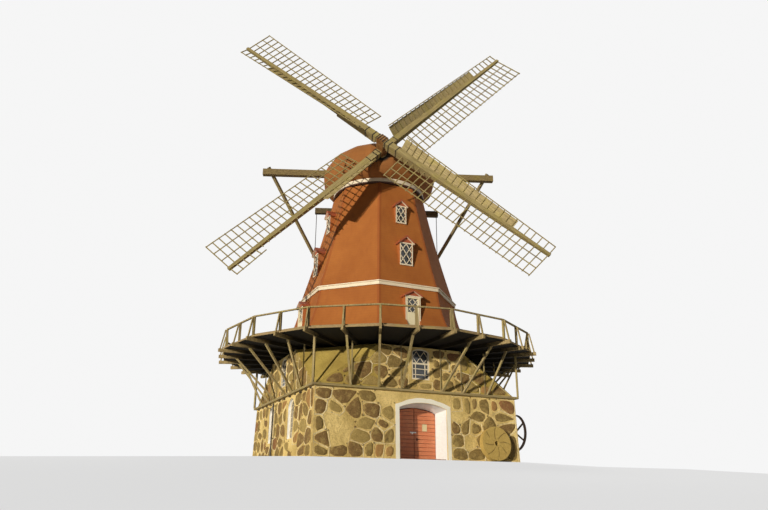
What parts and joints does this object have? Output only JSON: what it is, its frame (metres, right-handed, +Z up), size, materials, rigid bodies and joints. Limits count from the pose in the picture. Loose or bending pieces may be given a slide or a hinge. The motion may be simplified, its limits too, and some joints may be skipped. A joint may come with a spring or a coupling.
{
  "type": "traditional windmill",
  "caption": "Smock windmill with a square fieldstone base, railed timber gallery, red boarded body, domed turning cap and four lattice sails",
  "frame": {"origin": "On the ground, below the mill's vertical axis, at the middle of the square base", "axes": "+Z up, -Y out of the entrance wall, +X to the right seen from the front"},
  "size_m": [17.8529, 16.6021, 24.0903],
  "materials": {
    "fieldstone": "rough",
    "lime_plaster": "matte",
    "paving_brick": "matte",
    "weathered_timber": "matte",
    "red_boarding": "matte",
    "white_paint": "satin",
    "cream_paint": "satin",
    "door_paint": "satin",
    "window_glass": "gloss",
    "millstone": "rough",
    "rusty_iron": "rough",
    "zinc": "matte"
  },
  "bodies": {
    "mill": {"ground_floor": "paving_brick", "front_wall_left": "fieldstone", "front_wall_right": "fieldstone", "front_wall_over_door": "fieldstone", "left_wall": "fieldstone", "right_wall": "fieldstone", "back_wall": "fieldstone", "upper_walls": "fieldstone", "broach_corners": "lime_plaster", "rail_beams": "weathered_timber", "gallery_struts": "weathered_timber", "gallery_inner_posts": "weathered_timber", "gallery_joists": "weathered_timber", "smock_sill": "weathered_timber", "gallery_deck": "weathered_timber", "railing_posts": "weathered_timber", "railing_braces": "weathered_timber", "handrails": "weathered_timber", "upper_floors": "weathered_timber", "smock_window_sides": "red_boarding", "smock_plain_sides": "red_boarding", "skirt_door_sides": "red_boarding", "skirt_plain_sides": "red_boarding", "waist_band": "white_paint", "curb": "weathered_timber", "base_window_frames": "white_paint", "window_glass": "window_glass", "dormer_casings": "white_paint", "gallery_door_casings": "white_paint", "window_hoods": "red_boarding", "gallery_doors": "cream_paint", "millstone": "millstone", "wall_wheel": "rusty_iron", "downpipe": "zinc", "door_pintles": "rusty_iron"},
    "cap": {"cap_shell": "red_boarding", "cap_ring": "white_paint", "cap_frame": "weathered_timber", "shaft_bearings": "weathered_timber", "long_spruit": "weathered_timber", "short_spruit": "weathered_timber", "long_braces": "weathered_timber", "hanging_rods": "rusty_iron", "tail_pole": "weathered_timber"},
    "sails": {"windshaft": "weathered_timber", "poll_end": "rusty_iron", "front_stock": "weathered_timber", "rear_stock": "weathered_timber", "stock_doublings": "weathered_timber", "sail_lattice_upper_left": "weathered_timber", "sail_lattice_upper_right": "weathered_timber", "sail_lattice_lower_right": "weathered_timber", "sail_lattice_lower_left": "weathered_timber", "wind_boards": "weathered_timber"},
    "door_left": {"door_leaf_left": "door_paint"},
    "door_right": {"door_leaf_right": "door_paint"}
  },
  "joints": [
    {"name": "cap_turn", "type": "hinge", "parent": "mill", "child": "cap", "pos_m": [0, 0, 14.4], "axis": [0, 0, 1], "continuous": true},
    {"name": "sail_turn", "type": "hinge", "parent": "cap", "child": "sails", "pos_m": [-1.43347, -3.73432, 16.017], "axis": [-0.3463, -0.9022, 0.2571], "continuous": true},
    {"name": "door_left_swing", "type": "hinge", "parent": "mill", "child": "door_left", "pos_m": [-0.995, -4.002, 1], "axis": [0, 0, 1], "range_deg": [0, 90]},
    {"name": "door_right_swing", "type": "hinge", "parent": "mill", "child": "door_right", "pos_m": [1.195, -4.002, 1], "axis": [0, 0, -1], "range_deg": [0, 90]}
  ]
}
